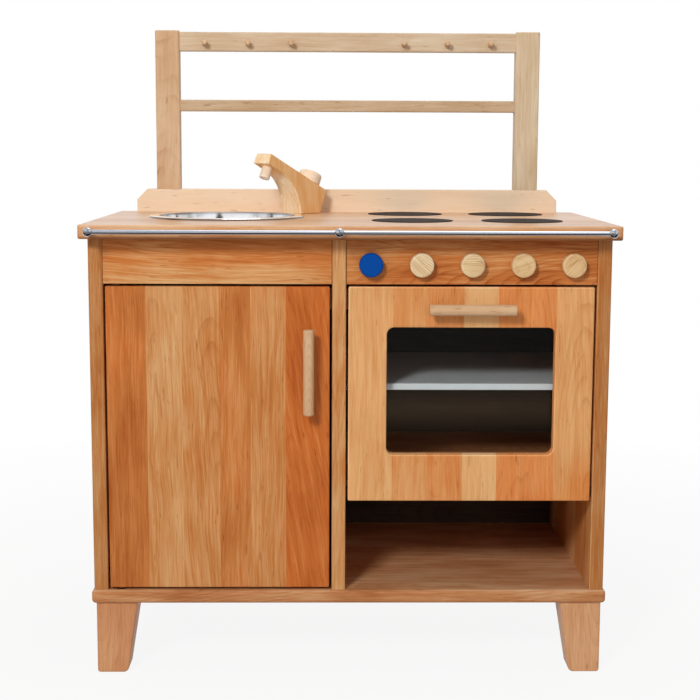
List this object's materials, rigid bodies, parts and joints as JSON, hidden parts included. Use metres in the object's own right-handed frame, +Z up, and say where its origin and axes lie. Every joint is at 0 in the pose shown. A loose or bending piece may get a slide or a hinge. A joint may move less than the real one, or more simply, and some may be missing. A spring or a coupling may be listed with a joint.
{
  "type": "play kitchen with toy oven",
  "caption": "Wooden play kitchen: cupboard, oven with a drop-down window door, lift-out sink, swivel tap, hob discs, turning knobs, towel rail and a back frame with pegs.",
  "frame": {"origin": "on the floor, under the middle of the bounding box", "axes": "+Z up, +X to the right of someone standing at the kitchen, +Y from the front to the back"},
  "size_m": [0.69, 0.4235, 0.864],
  "materials": {
    "alder": "oiled, boards of glued lamellas",
    "panel_ply": "sanded, oiled",
    "white_board": "white faced board",
    "beech": "oiled",
    "birch": "oiled",
    "blue_lacquer": "blue satin lacquer on wood",
    "black_disc": "black satin lacquer on thin board",
    "polished_steel": "polished stainless steel",
    "steel": "bright steel",
    "clear_acrylic": "clear",
    "nylon": "moulded"
  },
  "bodies": {
    "cabinet": {"left_side_panel": "alder", "right_side_panel": "alder", "divider_panel": "alder", "back_panel": "panel_ply", "bottom_board": "alder", "front_left_leg": "alder", "rear_left_leg": "alder", "front_right_leg": "alder", "rear_right_leg": "alder", "sink_fascia": "alder", "knob_fascia": "alder", "oven_floor": "panel_ply", "floor_cleats": "panel_ply", "oven_shelf": "white_board", "shelf_pins": "steel", "wood_dowels": "beech", "back_panel_screws": "steel", "pivot_bushes": "nylon", "catch_blocks": "beech", "catch_magnets": "steel", "worktop": "alder", "hob_discs": "black_disc", "towel_rail": "steel", "rail_spacers": "steel", "rail_screws": "steel", "tap_pivot": "beech", "splashback": "alder", "left_post": "alder", "right_post": "alder", "top_rail": "alder", "middle_rail": "alder", "utensil_pegs": "beech"},
    "cupboard_door": {"cupboard_door": "alder", "cupboard_handle": "beech", "cupboard_handle_posts": "beech", "cupboard_pivot_pins": "steel", "cupboard_strike": "steel"},
    "oven_door": {"oven_door": "alder", "oven_window": "clear_acrylic", "window_screws": "steel", "oven_handle": "beech", "oven_handle_posts": "beech", "oven_pivot_pins": "steel", "oven_strike": "steel"},
    "knob_1": {"knob_1": "blue_lacquer", "knob_1_spindle": "birch"},
    "knob_2": {"knob_2": "birch", "knob_2_spindle": "birch"},
    "knob_3": {"knob_3": "birch", "knob_3_spindle": "birch"},
    "knob_4": {"knob_4": "birch", "knob_4_spindle": "birch"},
    "knob_5": {"knob_5": "birch", "knob_5_spindle": "birch"},
    "tap": {"tap_body": "alder", "tap_outlet": "beech"},
    "tap_knob": {"tap_knob": "birch", "tap_knob_spindle": "birch"},
    "sink_bowl": {"sink_bowl": "polished_steel"}
  },
  "joints": [
    {"name": "cupboard_door_hinge", "type": "hinge", "parent": "cabinet", "child": "cupboard_door", "pos_m": [-0.3009, -0.15525, 0.31625], "axis": [0, 0, -1], "range_deg": [0, 110]},
    {"name": "oven_door_hinge", "type": "hinge", "parent": "cabinet", "child": "oven_door", "pos_m": [0.15615, -0.15125, 0.244], "axis": [1, 0, 0], "range_deg": [0, 90]},
    {"name": "knob_1_turn", "type": "hinge", "parent": "cabinet", "child": "knob_1", "pos_m": [0.02615, -0.16275, 0.544], "axis": [0, 1, 0], "continuous": true},
    {"name": "knob_2_turn", "type": "hinge", "parent": "cabinet", "child": "knob_2", "pos_m": [0.09115, -0.16275, 0.544], "axis": [0, 1, 0], "continuous": true},
    {"name": "knob_3_turn", "type": "hinge", "parent": "cabinet", "child": "knob_3", "pos_m": [0.15615, -0.16275, 0.544], "axis": [0, 1, 0], "continuous": true},
    {"name": "knob_4_turn", "type": "hinge", "parent": "cabinet", "child": "knob_4", "pos_m": [0.22115, -0.16275, 0.544], "axis": [0, 1, 0], "continuous": true},
    {"name": "knob_5_turn", "type": "hinge", "parent": "cabinet", "child": "knob_5", "pos_m": [0.28615, -0.16275, 0.544], "axis": [0, 1, 0], "continuous": true},
    {"name": "tap_swivel", "type": "hinge", "parent": "cabinet", "child": "tap", "pos_m": [-0.0695, 0.14775, 0.595], "axis": [0, 0, 1], "continuous": true},
    {"name": "tap_knob_turn", "type": "hinge", "parent": "tap", "child": "tap_knob", "pos_m": [-0.05917, 0.15964, 0.63914], "axis": [0.2773, 0.319, 0.9063], "continuous": true},
    {"name": "sink_bowl_lift", "type": "slide", "parent": "cabinet", "child": "sink_bowl", "axis": [0, 0, 1], "range_m": [0, 0.04]}
  ]
}
